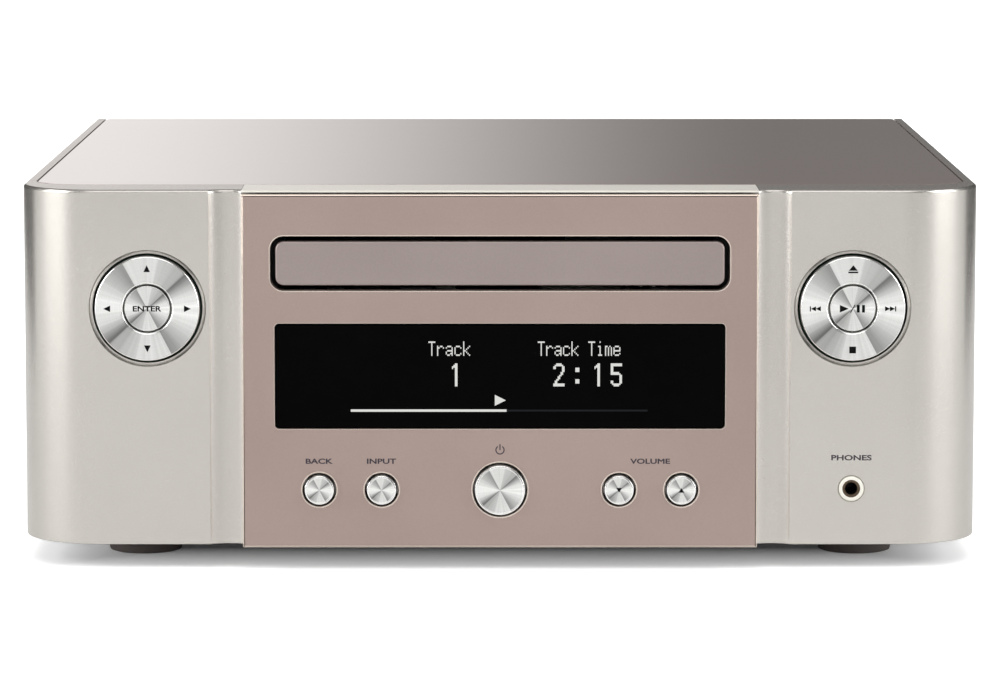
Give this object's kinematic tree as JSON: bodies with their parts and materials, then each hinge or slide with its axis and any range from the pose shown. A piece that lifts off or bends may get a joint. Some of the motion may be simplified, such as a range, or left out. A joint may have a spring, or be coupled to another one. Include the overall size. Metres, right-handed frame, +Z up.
{
  "type": "cd receiver",
  "caption": "Compact CD receiver with a motorised disc tray, two four-way rings, push buttons, display and rear sockets.",
  "frame": {"origin": "centre of the bounding box's footprint, on the surface that the feet stand on", "axes": "-Y is the front, +X the right-hand side seen from the front, +Z up"},
  "size_m": [0.28, 0.303, 0.111],
  "materials": {
    "silver_paint": "satin silver paint",
    "taupe_panel": "rose-brown satin anodised",
    "mauve_door": "satin grey-mauve",
    "gloss_top": "clear gloss over taupe",
    "black_window": "clear gloss black",
    "spun_aluminium": "spun face, bright cut rim",
    "black_plastic": "fine moulded texture",
    "grey_plastic": "glass-filled, matt",
    "foot_rubber": "matt",
    "zinc_steel": "zinc plated sheet",
    "black_steel": "black powder coat",
    "circuit_board": "green solder mask",
    "extruded_aluminium": "black anodised fins",
    "phono_gold": "gold plated",
    "belt_rubber": "matt",
    "white_nylon": "natural acetal",
    "transformer_tape": "yellow tape over ferrite"
  },
  "bodies": {
    "unit": {"chassis_base": "zinc_steel", "rear_panel": "black_steel", "top_cover": "zinc_steel", "top_plate": "gloss_top", "left_side_panel": "silver_paint", "right_side_panel": "silver_paint", "left_wing": "silver_paint", "right_wing": "silver_paint", "top_trim_bar": "silver_paint", "centre_panel": "taupe_panel", "front_subframe": "black_plastic", "display_window": "black_window", "display_module": "black_plastic", "front_board": "circuit_board", "foot_front_left": "foot_rubber", "foot_front_right": "foot_rubber", "foot_rear_left": "foot_rubber", "foot_rear_right": "foot_rubber", "phones_jack": "spun_aluminium", "loader_chassis": "black_plastic", "clamp_bridge": "zinc_steel", "loading_motor": "zinc_steel", "loading_belt": "belt_rubber", "main_board": "circuit_board", "power_board": "circuit_board", "power_transformer": "transformer_tape", "heatsink": "extruded_aluminium", "mains_inlet": "black_plastic", "speaker_terminals": "black_plastic", "rca_jacks": "phono_gold", "network_socket": "zinc_steel", "antenna_socket": "zinc_steel"},
    "tray": {"disc_tray": "black_plastic", "tray_door": "mauve_door"},
    "tray_gear": {"tray_gear": "white_nylon"},
    "loading_gear": {"loading_gear": "white_nylon"},
    "motor_pulley": {"motor_pulley": "white_nylon"},
    "traverse": {"traverse_frame": "black_plastic", "spindle_motor": "zinc_steel", "guide_rod": "zinc_steel", "sled_motor": "zinc_steel"},
    "turntable": {"turntable": "black_plastic"},
    "clamper": {"clamper": "black_plastic"},
    "pickup_sled": {"pickup_sled": "grey_plastic"},
    "sled_gear": {"sled_gear": "white_nylon"},
    "nav_carrier": {"nav_ring_carrier": "black_plastic"},
    "nav_ring": {"nav_ring": "spun_aluminium"},
    "enter_button": {"enter_button": "spun_aluminium"},
    "transport_carrier": {"transport_ring_carrier": "black_plastic"},
    "transport_ring": {"transport_ring": "spun_aluminium"},
    "play_button": {"play_button": "spun_aluminium"},
    "back_button": {"back_button": "spun_aluminium"},
    "input_button": {"input_button": "spun_aluminium"},
    "power_button": {"power_button": "spun_aluminium"},
    "volume_down_button": {"volume_down_button": "spun_aluminium"},
    "volume_up_button": {"volume_up_button": "spun_aluminium"},
    "speaker_cap_left_minus": {"speaker_cap_left_minus": "black_plastic"},
    "speaker_cap_left_plus": {"speaker_cap_left_plus": "black_plastic"},
    "speaker_cap_right_minus": {"speaker_cap_right_minus": "black_plastic"},
    "speaker_cap_right_plus": {"speaker_cap_right_plus": "black_plastic"}
  },
  "joints": [
    {"name": "tray_slide", "type": "slide", "parent": "unit", "child": "tray", "axis": [0, -1, 0], "range_m": [0, 0.13]},
    {"name": "tray_gear_spin", "type": "hinge", "parent": "unit", "child": "tray_gear", "pos_m": [0.043, -0.11678, 0.0827], "axis": [0, 0, -1], "range_deg": [0, 835]},
    {"name": "loading_gear_spin", "type": "hinge", "parent": "unit", "child": "loading_gear", "pos_m": [0.0238, -0.11678, 0.0788], "axis": [0, 0, -1], "range_deg": [-1840, 0]},
    {"name": "motor_pulley_spin", "type": "hinge", "parent": "unit", "child": "motor_pulley", "pos_m": [-0.0162, -0.11678, 0.0788], "axis": [0, 0, -1], "range_deg": [-6250, 0]},
    {"name": "traverse_tilt", "type": "hinge", "parent": "unit", "child": "traverse", "pos_m": [0, 0.006, 0.078], "axis": [1, 0, 0], "range_deg": [0, 4.5]},
    {"name": "turntable_spin", "type": "hinge", "parent": "traverse", "child": "turntable", "pos_m": [0, -0.08, 0.0932], "axis": [0, 0, 1], "continuous": true},
    {"name": "clamper_spin", "type": "hinge", "parent": "unit", "child": "clamper", "pos_m": [0, -0.08, 0.0947], "axis": [0, 0, 1], "continuous": true},
    {"name": "sled_slide", "type": "slide", "parent": "traverse", "child": "pickup_sled", "axis": [0, 1, 0], "range_m": [0, 0.035]},
    {"name": "sled_gear_spin", "type": "hinge", "parent": "traverse", "child": "sled_gear", "pos_m": [-0.04, -0.04, 0.0846], "axis": [0, 0, 1], "range_deg": [0, 252]},
    {"name": "nav_tilt_up_down", "type": "hinge", "parent": "unit", "child": "nav_carrier", "pos_m": [-0.1023, -0.1421, 0.0765], "axis": [1, 0, 0], "range_deg": [-2, 2], "stiffness_Nm_per_rad": 0.5},
    {"name": "nav_tilt_left_right", "type": "hinge", "parent": "nav_carrier", "child": "nav_ring", "pos_m": [-0.1023, -0.1421, 0.0765], "axis": [0, 0, 1], "range_deg": [-2, 2], "stiffness_Nm_per_rad": 0.5},
    {"name": "transport_tilt_up_down", "type": "hinge", "parent": "unit", "child": "transport_carrier", "pos_m": [0.1023, -0.1421, 0.0765], "axis": [1, 0, 0], "range_deg": [-2, 2], "stiffness_Nm_per_rad": 0.5},
    {"name": "transport_tilt_left_right", "type": "hinge", "parent": "transport_carrier", "child": "transport_ring", "pos_m": [0.1023, -0.1421, 0.0765], "axis": [0, 0, 1], "range_deg": [-2, 2], "stiffness_Nm_per_rad": 0.5},
    {"name": "enter_press", "type": "slide", "parent": "unit", "child": "enter_button", "axis": [0, 1, 0], "range_m": [0, 0.0008], "stiffness_N_per_m": 900, "springref_m": -0.0004},
    {"name": "play_press", "type": "slide", "parent": "unit", "child": "play_button", "axis": [0, 1, 0], "range_m": [0, 0.0008], "stiffness_N_per_m": 900, "springref_m": -0.0004},
    {"name": "back_press", "type": "slide", "parent": "unit", "child": "back_button", "axis": [0, 1, 0], "range_m": [0, 0.0008], "stiffness_N_per_m": 900, "springref_m": -0.0004},
    {"name": "input_press", "type": "slide", "parent": "unit", "child": "input_button", "axis": [0, 1, 0], "range_m": [0, 0.0008], "stiffness_N_per_m": 900, "springref_m": -0.0004},
    {"name": "power_press", "type": "slide", "parent": "unit", "child": "power_button", "axis": [0, 1, 0], "range_m": [0, 0.0008], "stiffness_N_per_m": 900, "springref_m": -0.0004},
    {"name": "volume_down_press", "type": "slide", "parent": "unit", "child": "volume_down_button", "axis": [0, 1, 0], "range_m": [0, 0.0008], "stiffness_N_per_m": 900, "springref_m": -0.0004},
    {"name": "volume_up_press", "type": "slide", "parent": "unit", "child": "volume_up_button", "axis": [0, 1, 0], "range_m": [0, 0.0008], "stiffness_N_per_m": 900, "springref_m": -0.0004},
    {"name": "speaker_cap_left_minus_turn", "type": "hinge", "parent": "unit", "child": "speaker_cap_left_minus", "pos_m": [-0.033, 0.1408, 0.04], "axis": [0, 1, 0], "range_deg": [-720, 0]},
    {"name": "speaker_cap_left_plus_turn", "type": "hinge", "parent": "unit", "child": "speaker_cap_left_plus", "pos_m": [-0.033, 0.1408, 0.064], "axis": [0, 1, 0], "range_deg": [-720, 0]},
    {"name": "speaker_cap_right_minus_turn", "type": "hinge", "parent": "unit", "child": "speaker_cap_right_minus", "pos_m": [-0.063, 0.1408, 0.04], "axis": [0, 1, 0], "range_deg": [-720, 0]},
    {"name": "speaker_cap_right_plus_turn", "type": "hinge", "parent": "unit", "child": "speaker_cap_right_plus", "pos_m": [-0.063, 0.1408, 0.064], "axis": [0, 1, 0], "range_deg": [-720, 0]}
  ],
  "couplings": [
    {"joint": "tray_gear_spin", "follows": "tray_slide", "rad_per_m": 111.11},
    {"joint": "loading_gear_spin", "follows": "tray_slide", "rad_per_m": -244.44},
    {"joint": "motor_pulley_spin", "follows": "tray_slide", "rad_per_m": -831.11},
    {"joint": "clamper_spin", "follows": "turntable_spin", "ratio": 1},
    {"joint": "sled_gear_spin", "follows": "sled_slide", "rad_per_m": 125}
  ]
}
